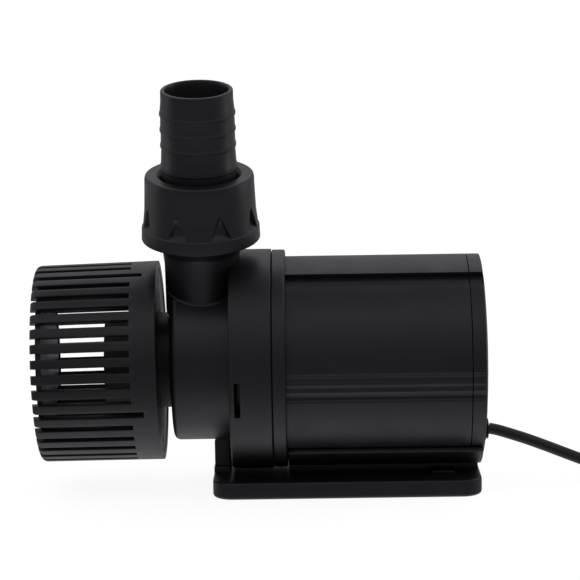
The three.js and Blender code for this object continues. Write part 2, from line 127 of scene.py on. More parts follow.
# Points in millimetres become a closed mesh: doubles are merged and the signed volume sets which way faces point.
def makeMesh(name, points, faces, place=inPlace):
    mesh = bpy.data.meshes.new(name)
    mesh.from_pydata((np.asarray(points, float).reshape(-1, 3) * mm).tolist(), [], np.asarray(faces).tolist())
    work = bmesh.new()
    work.from_mesh(mesh)
    bmesh.ops.remove_doubles(work, verts=work.verts, dist=2e-6)
    bmesh.ops.dissolve_degenerate(work, edges=work.edges, dist=1e-6)
    bmesh.ops.recalc_face_normals(work, faces=work.faces)
    if work.calc_volume(signed=True) < 0:
        bmesh.ops.reverse_faces(work, faces=work.faces)
    work.to_mesh(mesh)
    work.free()
    mesh.transform(place)
    piece = bpy.data.objects.new(name, mesh)
    bpy.context.collection.objects.link(piece)
    return piece


# Station and radius turned about X, with angles counted above the -Y horizontal.
def aboutX(station, radius, angle):
    return np.stack(np.broadcast_arrays(station, -radius * np.cos(angle), radius * np.sin(angle)), -1)


# Station and radius turned about Z.
def aboutZ(station, radius, angle):
    return np.stack(np.broadcast_arrays(radius * np.cos(angle), radius * np.sin(angle), station), -1)


# Station and radius turned about Y.
def aboutY(station, radius, angle):
    return np.stack(np.broadcast_arrays(radius * np.cos(angle), station, radius * np.sin(angle)), -1)


# The profile is carried round the axis in even steps; a loop profile makes a ring, an open one ends on the axis.
def turned(name, corners, steps, axis=aboutX, place=inPlace, loop=True, angles=None, relief=None):
    line = roundedProfile(corners, loop)
    angles = np.linspace(0, 2 * pi, steps, endpoint=False) if angles is None else angles
    station, radius = line[:, :1], line[:, 1:]
    if relief is not None:
        radius = radius + relief(station, radius, angles[None, :])
    points = axis(station, radius, angles[None, :])
    faces = gridFaces(len(line), len(angles), loop, True)
    return makeMesh(name, points, faces, place)


# Box surface grids; each point is drawn to the box shrunk by the rounding, then pushed out by the rounding.
def roundedBox(name, low, high, rounding, cells=(2, 2, 2), bend=None, place=inPlace, arcSteps=3):
    low, high = np.array(low, float), np.array(high, float)
    bow = np.tan(np.linspace(0, pi / 4, arcSteps + 1))
    lines = []
    for k in range(3):
        middle = np.linspace(low[k] + rounding, high[k] - rounding, cells[k] + 1)
        lines.append(np.concatenate([low[k] + rounding * (1 - bow[:0:-1]), middle, high[k] - rounding * (1 - bow[1:])]))
    points, faces, count = [], [], 0
    for k in range(3):
        a, b = (k + 1) % 3, (k + 2) % 3
        first, second = np.meshgrid(lines[a], lines[b], indexing="ij")
        for side in (low[k], high[k]):
            side = np.full(first.shape, side)
            points.append(np.stack([(side, first, second), (second, side, first), (first, second, side)][k], -1)
                          .reshape(-1, 3))
            faces.append(gridFaces(*first.shape, False, False, count))
            count += first.size
    points = np.concatenate(points)
    core = np.clip(points, low + rounding, high - rounding)
    away = points - core
    points = core + away / np.maximum(np.linalg.norm(away, axis=1, keepdims=True), 1e-9) * rounding
    points = points if bend is None else bend(points)
    return makeMesh(name, points, np.concatenate(faces), place)


# Box coordinates (x, arc length, radius) wrapped about the pump axis, the arc centred on an angle.
def wrapped(angle, radius):
    def bend(points):
        return aboutX(points[:, 0], points[:, 2], radians(angle) + points[:, 1] / radius)
    return bend


# One solid joins, cuts or keeps what it shares with another, and the tool is then thrown away.
def combine(piece, tool, operation="UNION"):
    change = piece.modifiers.new("combine", "BOOLEAN")
    change.operation, change.solver, change.object = operation, "EXACT", tool
    applyModifiers(piece)
    bpy.data.objects.remove(tool)
    return piece


# The evaluated mesh takes the place of the first one and its modifiers.
def applyModifiers(piece):
    bpy.context.view_layer.update()
    result = bpy.data.meshes.new_from_object(piece.evaluated_get(bpy.context.evaluated_depsgraph_get()))
    piece.modifiers.clear()
    piece.data = result


# Edges sharper than the angle get a narrow round.
def softenEdges(piece, width, angle=35, segments=2):
    bevel = piece.modifiers.new("soften", "BEVEL")
    bevel.width, bevel.segments, bevel.limit_method = width * mm, segments, "ANGLE"
    bevel.angle_limit, bevel.use_clamp_overlap = radians(angle), True
    applyModifiers(piece)
    return piece


# Several closed shells become one piece.
def gather(pieces, name):
    work = bmesh.new()
    for piece in pieces:
        work.from_mesh(piece.data)
        bpy.data.objects.remove(piece)
    mesh = bpy.data.meshes.new(name)
    work.to_mesh(mesh)
    work.free()
    whole = bpy.data.objects.new(name, mesh)
    bpy.context.collection.objects.link(whole)
    return whole


# A node group with named inputs, each with its starting value, and named outputs.
def newGroup(name, inputs, outputs):
    group = bpy.data.node_groups.new(name, "ShaderNodeTree")
    for label, value in inputs.items():
        group.interface.new_socket(label, in_out="INPUT", socket_type="NodeSocketFloat").default_value = value
    for label in outputs:
        group.interface.new_socket(label, in_out="OUTPUT", socket_type="NodeSocketFloat")
    return group, group.nodes.new("NodeGroupInput"), group.nodes.new("NodeGroupOutput")


# Settings come first, then each socket gets a link or a plain value.
def addNode(tree, kind, links=(), **settings):
    node = tree.nodes.new(kind)
    for key, value in settings.items():
        setattr(node, key, value)
    for socket, source in dict(links).items():
        target = node.inputs[socket]
        if isinstance(source, bpy.types.NodeSocket):
            tree.links.new(source, target)
        else:
            target.default_value = source
    return node


# Two values become one by an operation.
def mathNode(tree, operation, first, second, **settings):
    return addNode(tree, "ShaderNodeMath", {0: first, 1: second}, operation=operation, **settings).outputs[0]


# Two colours are mixed by a mask.
def mixColours(tree, mask, first, second):
    return addNode(tree, "ShaderNodeMix", {0: mask, 6: first, 7: second}, data_type="RGBA").outputs[2]


# A node group is placed in a material with its own values.
def placeGroup(tree, group, **values):
    return addNode(tree, "ShaderNodeGroup", values, node_tree=group).outputs


# A place on the piece itself.
def objectPlace(tree):
    return addNode(tree, "ShaderNodeTexCoord").outputs["Object"]


# Fine pitted grain of moulded plastic: two noises added, the coarse one weaker.
def makeGrainGroup():
    group, start, end = newGroup("mouldedGrain", {"Scale": 2600.0, "Flow": 0.3}, ["Height", "Blotches"])
    spot = objectPlace(group)
    fine = addNode(group, "ShaderNodeTexNoise", {"Vector": spot, "Scale": start.outputs["Scale"], "Detail": 2.0,
                                                 "Roughness": 0.5})
    broad = addNode(group, "ShaderNodeTexNoise", {"Vector": spot, "Scale": 62.0, "Detail": 4.0, "Roughness": 0.62})
    flow = mathNode(group, "MULTIPLY", broad.outputs["Fac"], start.outputs["Flow"])
    height = mathNode(group, "ADD", fine.outputs["Fac"], flow)
    group.links.new(height, end.inputs["Height"])
    group.links.new(broad.outputs["Fac"], end.inputs["Blotches"])
    return group


# Handling wear on convex edges: pointiness above its middle value, broken up by noise.
def makeWearGroup():
    group, start, end = newGroup("edgeWear", {"Amount": 0.5}, ["Mask"])
    point = addNode(group, "ShaderNodeNewGeometry").outputs["Pointiness"]
    edge = addNode(group, "ShaderNodeMapRange", {"Value": point, "From Min": 0.53, "From Max": 0.62})
    spot = objectPlace(group)
    patches = addNode(group, "ShaderNodeTexNoise", {"Vector": spot, "Scale": 240.0, "Detail": 5.0, "Roughness": 0.6})
    broken = mathNode(group, "MULTIPLY", edge.outputs[0], patches.outputs["Fac"])
    mask = mathNode(group, "MULTIPLY", broken, start.outputs["Amount"], use_clamp=True)
    group.links.new(mask, end.inputs["Mask"])
    return group


# Dust that settles where the surface looks up: the normal's Z, times a speckled noise.
def makeDustGroup():
    group, start, end = newGroup("settledDust", {"Amount": 0.1}, ["Mask"])
    normal = addNode(group, "ShaderNodeNewGeometry").outputs["Normal"]
    up = addNode(group, "ShaderNodeSeparateXYZ", {0: normal}).outputs["Z"]
    facing = addNode(group, "ShaderNodeMapRange", {"Value": up, "From Min": 0.1, "From Max": 1.0})
    spot = objectPlace(group)
    specks = addNode(group, "ShaderNodeTexNoise", {"Vector": spot, "Scale": 900.0, "Detail": 6.0, "Roughness": 0.75})
    sparse = addNode(group, "ShaderNodeMapRange", {"Value": specks.outputs["Fac"], "From Min": 0.5, "From Max": 0.75})
    both = mathNode(group, "MULTIPLY", facing.outputs[0], sparse.outputs[0])
    mask = mathNode(group, "MULTIPLY", both, start.outputs["Amount"])
    group.links.new(mask, end.inputs["Mask"])
    return group


etch = {"radius": 44.6, "front": -26.2, "back": 59.7}


# The floors of the shoulder channels are finely etched: 1 where the distance from the pump axis is under the
# shell's radius, between the flange and the rear rim.
def makeEtchGroup():
    group, start, end = newGroup("etchedChannel", {"Radius": etch["radius"] * mm}, ["Mask"])
    spot = addNode(group, "ShaderNodeSeparateXYZ", {0: objectPlace(group)}).outputs
    rise = mathNode(group, "SUBTRACT", spot["Z"], pump["axisHeight"] * mm)
    flat = addNode(group, "ShaderNodeCombineXYZ", {0: spot["Y"], 1: rise}).outputs[0]
    away = addNode(group, "ShaderNodeVectorMath", {0: flat}, operation="LENGTH").outputs["Value"]
    sunk = mathNode(group, "LESS_THAN", away, start.outputs["Radius"])
    after = mathNode(group, "GREATER_THAN", spot["X"], etch["front"] * mm)
    before = mathNode(group, "LESS_THAN", spot["X"], etch["back"] * mm)
    along = mathNode(group, "MULTIPLY", after, before)
    group.links.new(mathNode(group, "MULTIPLY", sunk, along), end.inputs["Mask"])
    return group


grainGroup, wearGroup, dustGroup, etchGroup = makeGrainGroup(), makeWearGroup(), makeDustGroup(), makeEtchGroup()

# Rough is the least and most roughness, and etched is the specular level on the channels' floors.
finishes = {
    "black_plastic": {"colour": (0.0092, 0.0088, 0.0112), "worn": (0.04, 0.04, 0.043), "rough": (0.36, 0.48),
                      "grain": 2600, "bump": 0.05, "wear": 0.5, "dust": 0.03, "specular": 0.5, "etched": 0.3},
    "dark_plastic": {"colour": (0.0155, 0.0145, 0.0165), "worn": (0.035, 0.035, 0.038), "rough": (0.44, 0.56),
                     "grain": 2200, "bump": 0.08, "wear": 0.4, "dust": 0.03, "specular": 0.45},
    "rubber": {"colour": (0.009, 0.009, 0.009), "worn": (0.03, 0.03, 0.03), "rough": (0.66, 0.8),
               "grain": 1500, "bump": 0.12, "wear": 0.3, "dust": 0.1, "specular": 0.3},
    "cord_rubber": {"colour": (0.013, 0.013, 0.014), "worn": (0.035, 0.035, 0.036), "rough": (0.38, 0.5),
                    "grain": 1800, "bump": 0.05, "wear": 0.1, "dust": 0.04, "specular": 0.42},
    "ceramic": {"colour": (0.78, 0.75, 0.68), "worn": (0.86, 0.84, 0.78), "rough": (0.16, 0.3),
                "grain": 4000, "bump": 0.02, "wear": 0.2, "dust": 0.0, "specular": 0.5},
    "steel": {"colour": (0.52, 0.53, 0.54), "worn": (0.72, 0.72, 0.73), "rough": (0.24, 0.4),
              "grain": 3200, "bump": 0.04, "wear": 0.6, "dust": 0.0, "specular": 0.5, "metallic": 1.0},
    "lamination": {"colour": (0.17, 0.18, 0.2), "worn": (0.4, 0.41, 0.42), "rough": (0.35, 0.5), "grain": 900,
                   "bump": 0.1, "wear": 0.5, "dust": 0.0, "specular": 0.5, "metallic": 0.8, "lines": (2000, "X")},
    "copper": {"colour": (0.46, 0.17, 0.07), "worn": (0.72, 0.34, 0.17), "rough": (0.25, 0.38), "grain": 800,
               "bump": 0.1, "wear": 0.3, "dust": 0.0, "specular": 0.5, "metallic": 0.9, "lines": (1300, "Z")},
    "magnet_coat": {"colour": (0.05, 0.052, 0.056), "worn": (0.14, 0.14, 0.15), "rough": (0.4, 0.6),
                    "grain": 1200, "bump": 0.12, "wear": 0.5, "dust": 0.0, "specular": 0.45},
    "board": {"colour": (0.018, 0.12, 0.05), "worn": (0.05, 0.22, 0.1), "rough": (0.28, 0.4), "grain": 700,
              "bump": 0.06, "wear": 0.2, "dust": 0.0, "specular": 0.5},
}
dustColour = (0.3, 0.29, 0.28, 1)


# Base colour goes from plain to worn by the wear and dust masks, roughness follows the blotches, grain is a bump.
def makeFinish(name, values):
    material = bpy.data.materials.new(name)
    material.use_nodes = True
    tree = material.node_tree
    shader = tree.nodes["Principled BSDF"]
    grain = placeGroup(tree, grainGroup, Scale=values["grain"])
    wear = placeGroup(tree, wearGroup, Amount=values["wear"])["Mask"]
    dust = placeGroup(tree, dustGroup, Amount=values["dust"])["Mask"]
    blotches = grain["Blotches"]
    darker, lighter = ((*(share * c for c in values["colour"]), 1) for share in (0.8, 1.2))
    tone = mixColours(tree, blotches, darker, lighter)
    worn = mixColours(tree, wear, tone, (*values["worn"], 1))
    tree.links.new(mixColours(tree, dust, worn, dustColour), shader.inputs["Base Color"])
    low, high = values["rough"]
    rough = addNode(tree, "ShaderNodeMapRange", {"Value": blotches, "From Min": 0.3, "From Max": 0.7,
                                                 "To Min": low, "To Max": high})
    tree.links.new(rough.outputs[0], shader.inputs["Roughness"])
    height = grain["Height"]
    if "lines" in values:
        pitch, along = values["lines"]
        stripes = addNode(tree, "ShaderNodeTexWave", {"Vector": objectPlace(tree), "Scale": pitch / 6.3,
                                                      "Distortion": 0.4}, bands_direction=along)
        height = mathNode(tree, "ADD", height, stripes.outputs["Fac"])
    bump = addNode(tree, "ShaderNodeBump", {"Height": height, "Strength": values["bump"], "Distance": 0.0002})
    tree.links.new(bump.outputs["Normal"], shader.inputs["Normal"])
    shader.inputs["Metallic"].default_value = values.get("metallic", 0.0)
    shader.inputs["Specular IOR Level"].default_value = values["specular"]
    if "etched" in values:
        mask = placeGroup(tree, etchGroup)["Mask"]
        sheen = addNode(tree, "ShaderNodeMapRange", {"Value": mask, "To Min": values["specular"],
                                                     "To Max": values["etched"]})
        tree.links.new(sheen.outputs[0], shader.inputs["Specular IOR Level"])
    return material


materials = {name: makeFinish(name, values) for name, values in finishes.items()}
slotOf = {part["node"]: part["material_slot"] for part in frame["record"]["subparts"]}
for node, part in frame["nodes"].items():
    part.data.materials.clear()
    part.data.materials.append(materials[slotOf[node]])
print("materials made")


# A finished piece is shaded smooth up to the sharp angle, rides on its body and stands for its CAD nodes.
def finishPiece(piece, body, nodes, sharp=32):
    if piece.type == "MESH":
        piece.data.shade_smooth()
        piece.data.set_sharp_from_angle(angle=radians(sharp))
    slotName = slotOf[nodes[0]]
    piece.data.materials.clear()
    piece.data.materials.append(materials[slotName])
    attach(piece, body)
    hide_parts(*nodes)
    return piece


lead = {
    "diameter": 5, "exit": (63.8, 0, 23.7), "coilX": 160, "coilY": 20, "startAngle": -102.8, "turns": 9.2856,
    "radii": (32.5, 27.5, 22.5, 27.5, 32.5, 27.5, 22.5, 27.5), "shifts": (0.8, 1.8, 3.4, 4.4, 6.0, 7.0, 8.6),
    "rises": (2.6, 5.2, 7.8), "floor": 2.55, "layer": 4.98, "window": 0.2, "pointsPerTurn": 48,
}
leadRoute = [
    (63.8, 0, 23.7), (67, 0, 23.05), (74, 0, 20.9), (82, -0.2, 18.2), (90, -0.6, 15.2), (98, -1.2, 12.1),
    (106, -2, 9.1), (114, -3, 6.4), (121, -4.3, 4.4), (127, -5.8, 3.2), (132, -7, 2.65), (134, -7.4, 2.55),
]
endRoute = [
    (187.5, 49.5, 14.6), (187.5, 53, 11.8), (187.5, 56.5, 9.7), (187.5, 59.5, 8.8), (187.5, 62.4, 8.6),
]


# Smoothstep from 0 to 1 over a window that starts at each place in the list.
def easedSteps(turn, starts, window):
    share = np.clip((turn[:, None] - np.array(starts)[None, :]) / window, 0, 1)
    return share * share * (3 - 2 * share)


# Turn number gives angle, radius and height: the radius shifts and the height rises by eased steps.
def coilTurns(values):
    turn = np.linspace(0, values["turns"], int(values["turns"] * values["pointsPerTurn"]))
    radius = values["radii"][0] + easedSteps(turn, values["shifts"], values["window"]) @ np.diff(values["radii"])
    height = values["floor"] + easedSteps(turn, values["rises"], values["window"]).sum(1) * values["layer"]
    angle = radians(values["startAngle"]) + 2 * pi * turn
    return np.stack([values["coilX"] + radius * np.cos(angle), values["coilY"] + radius * np.sin(angle), height], -1)


# Centripetal Catmull-Rom: each span is blended between lines through its four nearest points.
def smoothPath(points, perSpan):
    points = np.array(points, float)
    points = np.vstack([2 * points[0] - points[1], points, 2 * points[-1] - points[-2]])
    path = []
    for i in range(1, len(points) - 2):
        p = points[i - 1:i + 3]
        knots = np.concatenate([[0], np.cumsum(np.sqrt(np.linalg.norm(np.diff(p, axis=0), axis=1)))])
        t = np.linspace(knots[1], knots[2], perSpan, endpoint=False)[:, None]
        near = [((knots[k + 1] - t) * p[k] + (t - knots[k]) * p[k + 1]) / (knots[k + 1] - knots[k]) for k in range(3)]
        wide = [((knots[k + 2] - t) * near[k] + (t - knots[k]) * near[k + 1]) / (knots[k + 2] - knots[k])
                for k in range(2)]
        path.append(((knots[2] - t) * wide[0] + (t - knots[1]) * wide[1]) / (knots[2] - knots[1]))
    return np.vstack([*path, points[-2]])


# The run down from the cap, the coil and the run to the plug are joined end to end.
def makeLead():
    turns = coilTurns(lead)
    into = smoothPath([*leadRoute, turns[0], turns[4]], 3)[:-4]
    out = smoothPath([turns[-3], *endRoute], 4)[4:]
    path = np.vstack([into, turns[:-2], out]) * mm
    curve = bpy.data.curves.new("powerCord", "CURVE")
    curve.dimensions = "3D"
    curve.bevel_depth = lead["diameter"] / 2 * mm
    curve.bevel_resolution = 5
    curve.use_fill_caps = True
    spline = curve.splines.new("POLY")
    spline.points.add(len(path) - 1)
    spline.points.foreach_set("co", np.hstack([path, np.ones((len(path), 1))]).ravel())
    spline.use_smooth = True
    cord = bpy.data.objects.new("powerCord", curve)
    bpy.context.collection.objects.link(cord)
    length = np.linalg.norm(np.diff(path, axis=0), axis=1).sum()
    print("lead length", round(length, 3), "m, points", len(path))
    return cord, length


powerCord, leadLength = makeLead()
finishPiece(powerCord, "motor", ["power_cord", "cord_coil", "cord_end"])

connector = {"x": 187.5, "z": 8.6, "start": 62, "body": 7, "collar": 8.5, "ridges": 22}
besideCoil = moved(connector["x"], 0, connector["z"])


# Turned about Y: a tapered boot with rings, the body, and a socket with four contacts inside.
def makeConnectorBody():
    start, body = connector["start"], connector["body"]
    boot = []
    for i in range(4):
        at = start + 0.6 + i * 2
        boot += [(at, 3.9 + 0.28 * i, 0.2), (at + 1.2, 4.1 + 0.28 * i, 0.2), (at + 1.2, 3.5 + 0.28 * i),
                 (at + 2, 3.6 + 0.28 * i)]
    outline = [(start, 0), (start, 3.4), *boot, (start + 8.8, 6, 0.5), (start + 9.6, body, 0.4),
               (start + 17.9, body, 0.4), (start + 18, 5.4), (start + 32, 5.4, 0.3), (start + 32, 4.3, 0.2),
               (start + 25, 4.3), (start + 25, 0)]
    shells = [turned("shell", outline, 48, aboutY, besideCoil, loop=False)]
    for i in range(4):
        turn = pi / 2 * i + pi / 4
        at = besideCoil @ moved(2 * cos(turn), 0, 2 * sin(turn))
        pin = [(start + 24.5, 0), (start + 24.5, 0.55), (start + 30.6, 0.55, 0.3), (start + 31, 0)]
        shells.append(turned("pin", pin, 12, aboutY, at, loop=False))
    return gather(shells, "connectorBody")


# The collar's grip is a rectified wave of the angle, faded out at both ends.
def makeConnectorCollar():
    front = connector["start"] + 18.3

    def grip(station, radius, angle):
        fade = np.clip((station - front - 1) / 0.8, 0, 1) * np.clip((front + 10 - station) / 0.8, 0, 1)
        outer = radius > connector["collar"] - 0.4
        return -0.55 * fade * outer * np.abs(np.sin(angle * connector["ridges"] / 2)) ** 0.6

    outline = [(front, 5.8), (front, 8.5, 0.4), (front + 1, 8.5), (front + 1.8, 8.5), (front + 9.2, 8.5),
               (front + 10, 8.5), (front + 11, 8.5, 0.3), (front + 13, 7.8, 0.4), (front + 13, 5.8)]
    return turned("connectorCollar", outline, connector["ridges"] * 8, aboutY, besideCoil, relief=grip)


tie = {"angle": -50, "inner": 18.6, "outer": 35.6, "bottom": 1.4, "top": 20.6, "gap": 0.25, "thick": 0.9, "width": 9.6}


# A strap's section, a flat rectangle, is carried round a loop with rounded corners about the wound lead.
def makeCoilTie():
    low = np.array([tie["inner"] - tie["gap"], tie["bottom"] - tie["gap"]])
    high = np.array([tie["outer"] + tie["gap"], tie["top"] + tie["gap"]])
    loopCorners = [(low[0], low[1], 3), (high[0], low[1], 3), (high[0], high[1], 3), (low[0], high[1], 3)]
    inner = roundedProfile(loopCorners, arcSteps=8)
    middle = (low + high) / 2
    outward = np.sign(inner - middle) * np.clip(np.abs(inner - middle) - ((high - low) / 2 - 3), 0, None)
    outward /= np.linalg.norm(outward, axis=1, keepdims=True)
    outer = inner + outward * tie["thick"]
    half = tie["width"] / 2
    rings = []
    for line, y in ((inner, -half), (outer, -half + 0.2), (outer, half - 0.2), (inner, half)):
        rings.append(np.stack([line[:, 0], np.full(len(line), y), line[:, 1]], -1))
    points = np.stack(rings, 1)
    turn = moved(lead["coilX"], lead["coilY"], 0) @ Matrix.Rotation(radians(tie["angle"]), 4, "Z")
    strap = makeMesh("strap", points, gridFaces(len(inner), 4, True, True), turn)
    flap = roundedBox("flap", (24, -half, high[1] + tie["thick"] - 0.5), (34, half, high[1] + tie["thick"] + 0.3),
                      0.35, place=turn)
    return gather([strap, flap], "coilTie")


coilTie = finishPiece(makeCoilTie(), "motor", ["coil_tie"])
connectorBody = finishPiece(makeConnectorBody(), "motor", ["connector_body"])
connectorCollar = finishPiece(makeConnectorCollar(), "collar", ["connector_collar"])
print("lead, tie and connector made")

motor = {"radius": 45.2, "inner": 42.2, "flange": 48.2, "flangeFront": -31.8, "flangeBack": -26, "back": 53.7,
         "spigot": 42, "spigotInner": 38.8, "spigotFront": -47.6, "canHole": 18.4}
# Each line along the shell: angle above the -Y horizontal, width, rise out of the shell, and ramp at its sides.
shellLines = [(57.5, 7.9, -2.1, 0.28), (-0.9, 1.0, -0.5, 0.9), (-5.2, 1.8, 0.45, 1.8), (-9.6, 1.2, 0.4, 1.5),
              (-13.7, 1.8, -0.8, 1.3)]
shellLines += [(180 - angle, *rest) for angle, *rest in shellLines]


# Each line adds its height where the arc distance to it is under half its width, eased over a ramp at its sides.
def shellRelief(angle, radius, lines):
    height = np.zeros(angle.shape)
    for middle, width, rise, ramp in lines:
        away = np.abs((np.degrees(angle) - middle + 180) % 360 - 180) * pi / 180 * radius
        share = np.clip((width / 2 + ramp / 2 - away) / ramp, 0, 1)
        height += rise * share * share * (3 - 2 * share)
    return height


# Even angles, with extra ones across both edges of every line.
def shellAngles():
    edges = [angle + side * (width / 2 + share * ramp) / motor["radius"] * 180 / pi
             for angle, width, _, ramp in shellLines for side in (-1, 1) for share in (-0.5, -0.25, 0, 0.25, 0.5)]
    return np.unique(np.round(np.radians(np.concatenate([np.arange(0, 360, 1.5), np.array(edges) % 360])), 5))


# The relief counts on the outer skin behind the flange, and fades to nothing inside it.
def onShell(station, radius, angle):
    outside = np.clip((radius - 43.9) / 0.6, 0, 1) * (radius < 45.5) * (station > motor["flangeBack"] - 0.1)
    return outside * shellRelief(angle, motor["radius"], shellLines)


# A stepped tube turned about X, with a notch cut in its flange.
def makeMotorHousing():
    outline = [
        (motor["spigotFront"], motor["canHole"]), (motor["spigotFront"], motor["spigot"], 0.6),
        (motor["flangeFront"], motor["spigot"]), (motor["flangeFront"], motor["flange"], 0.5),
        (motor["flangeBack"], motor["flange"], 0.9), (motor["flangeBack"], motor["radius"]),
        (motor["back"], motor["radius"], 0.18), (motor["back"], motor["inner"], 0.3), (-28.8, motor["inner"]),
        (-28.8, motor["spigotInner"]), (-44.6, motor["spigotInner"]), (-44.6, motor["canHole"]),
    ]
    shell = turned("motorHousing", outline, 0, place=onAxis, angles=shellAngles(), relief=onShell)
    notch = roundedBox("notch", (-32.6, -1.2, 47.1), (-31.1, 1.2, 50), 0.3, place=onAxis)
    return combine(shell, notch, "DIFFERENCE")


# A domed disc turned about X, whose rim carries the shell's lines on.
def makeRearCap():
    outline = [(48, 39.3), (48, 41.8, 0.4), (54, 41.8), (54, 45.2, 0.18), (59.7, 45.2, 0.55), (60.1, 43.6, 0.4),
               (60.6, 40), (61.2, 33), (61.8, 24), (62.25, 12), (62.45, 4), (62.5, 0), (59.7, 0),
               (58.5, 30), (57, 39.3)]
    return turned("rearCap", outline, 0, place=onAxis, angles=shellAngles(), relief=onShell)


# Tapered strain relief with rings cut round it.
def makeCableGland():
    outline = [(54, 0), (54, 5.2), (56.4, 5.2), (56.4, 3.9), (60.9, 3.9), (60.9, 5.4, 0.4), (62.4, 5.1, 0.3),
               (62.4, 4.2), (62.75, 4.2), (62.75, 4.7, 0.2), (63.4, 4.4, 0.25), (63.6, 3.2, 0.2), (63.6, 0)]
    return turned("cableGland", outline, 40, place=moved(0, 0, lead["exit"][2]), loop=False)


finishPiece(makeMotorHousing(), "motor", ["motor_housing"], 28)
finishPiece(makeRearCap(), "motor", ["rear_cap"])
finishPiece(makeCableGland(), "motor", ["cable_gland"])
print("motor made")

base = {"length": 117.6, "width": 66, "corner": 9, "top": 7.6, "footX": 47, "footY": 22, "screwX": (16, 44),
        "cradleRadius": 46.6, "cradleHalfAngle": 39}


# A rounded rectangle: four quarter circles about the corners' centres.
def plateOutline(inset, steps=14):
    halfX, halfY = base["length"] / 2 - base["corner"], base["width"] / 2 - base["corner"]
    turn = np.linspace(0, pi / 2, steps)
    angle = (turn[None, :] + np.arange(4)[:, None] * pi / 2).ravel()
    signX = np.repeat([1, -1, -1, 1], steps)
    signY = np.repeat([1, 1, -1, -1], steps)
    radius = base["corner"] - inset
    return signX * halfX + radius * np.cos(angle), signY * halfY + radius * np.sin(angle)


# The plate's edge profile is carried round the rounded rectangle, and both ends close on the middle.
def makePlate():
    edge = roundedProfile([(0, 9), (0, 0, 1.6), (base["top"], 0, 0.9), (base["top"], 9)], loop=False, arcSteps=6)
    rings = []
    for height, inset in edge:
        x, y = plateOutline(min(inset, base["corner"] - 0.1))
        rings.append(np.stack([x, y, np.full(x.shape, height)], -1))
    bottom, top = np.zeros_like(rings[0]), np.tile([0, 0, base["top"]], (len(rings[0]), 1))
    points = np.stack([bottom, *rings, top])
    return makeMesh("plate", points, gridFaces(len(points), len(top), False, True))


# Blocks and a cradle bent about the pump axis join the plate; the volute's bed, recesses and holes are cut.
def makeBasePlate():
    whole = makePlate()
    parts = [
        roundedBox("post", (-58.4, -8, 6.6), (-51.5, 8, 30), 0.6),
        roundedBox("postFoot", (-58.7, -10.4, 6.6), (-51.2, 10.4, 10.2), 0.7),
        roundedBox("web", (-25.4, -8, 6.4), (58.2, 8, 10.2), 0.5),
        roundedBox("pad", (37.5, -17, 6.6), (47.5, 17, 8.5), 0.4),
    ]
    reach = radians(base["cradleHalfAngle"]) * base["cradleRadius"]
    parts.append(roundedBox("cradle", (-25.6, -reach, 45.5), (59.3, reach, 47.7), 0.55, cells=(2, 64, 2),
                            bend=wrapped(-90, base["cradleRadius"]), place=onAxis))
    for part in parts:
        combine(whole, part)
    combine(whole, turned("bed", [(-59.4, 0), (-59.4, 36.2), (-50.5, 36.2), (-50.5, 0)], 160, place=onAxis, loop=False),
            "DIFFERENCE")
    tools = []
    for sideX in (-1, 1):
        for sideY in (-1, 1):
            spot = moved(sideX * base["footX"], sideY * base["footY"], 0)
            tools.append(turned("recess", [(-1, 0), (-1, 7.3), (2.5, 7.3), (2.5, 0)], 40, aboutZ, spot, loop=False))
    for x in base["screwX"]:
        hole = [(-1, 0), (-1, 3.9), (4, 3.9), (4, 1.9), (14, 1.9), (14, 0)]
        tools.append(turned("hole", hole, 32, aboutZ, moved(x, 0, 0), loop=False))
    return combine(whole, gather(tools, "tools"), "DIFFERENCE")


# A pad with two rings pressed into its underside.
def makeFoot(name, x, y):
    outline = [(0.4, 0), (0.4, 2.2, 0.15), (0.0, 2.5, 0.15), (0.0, 4.2, 0.15), (0.4, 4.5, 0.15), (0.4, 5, 0.15),
               (0.0, 5.3, 0.15), (0, 7, 0.4), (2.2, 7, 0.3), (2.2, 0)]
    return turned(name, outline, 48, aboutZ, moved(x, y, 0), loop=False)


# A pan head with a six-sided socket, and a shank whose radius follows a screw thread.
def makeScrew(name, x):
    spot = moved(x, 0, 0)
    head = turned(name, [(1.2, 0), (1.2, 3.2, 0.4), (1.6, 3.6, 0.2), (3.7, 3.6), (3.7, 0)], 40, aboutZ, spot,
                  loop=False)
    socket = turned("socket", [(0.5, 0), (0.5, 1.7), (2.9, 1.7), (2.9, 0)], 6, aboutZ, spot, loop=False)
    combine(head, socket, "DIFFERENCE")
    station = np.linspace(3.6, 18.4, 120)[:, None]
    angle = np.linspace(0, 2 * pi, 24, endpoint=False)[None, :]
    wave = np.abs(((station / 1.0 - angle / (2 * pi)) % 1) - 0.5) * 2
    radius = (1.12 + 0.45 * wave) * np.clip((18.8 - station) / 2, 0.05, 1)
    rings = np.concatenate([np.tile([0, 0, 3.6], (1, 24, 1)), aboutZ(station, radius, angle),
                            np.tile([0, 0, 18.5], (1, 24, 1))])
    shank = makeMesh("shank", rings, gridFaces(len(rings), 24, False, True), spot)
    return gather([head, shank], name)


finishPiece(makeBasePlate(), "motor", ["base_plate"], 30)
footSpots = [(sideX * base["footX"], sideY * base["footY"]) for sideX in (-1, 1) for sideY in (-1, 1)]
for number, (x, y) in enumerate(footSpots, 1):
    finishPiece(makeFoot(f"rubberFoot{number}", x, y), "motor", [f"rubber_foot_{number}"])
for number, x in enumerate(base["screwX"], 1):
    finishPiece(makeScrew(f"baseScrew{number}", x), "motor", [f"base_screw_{number}"])
print("base made")

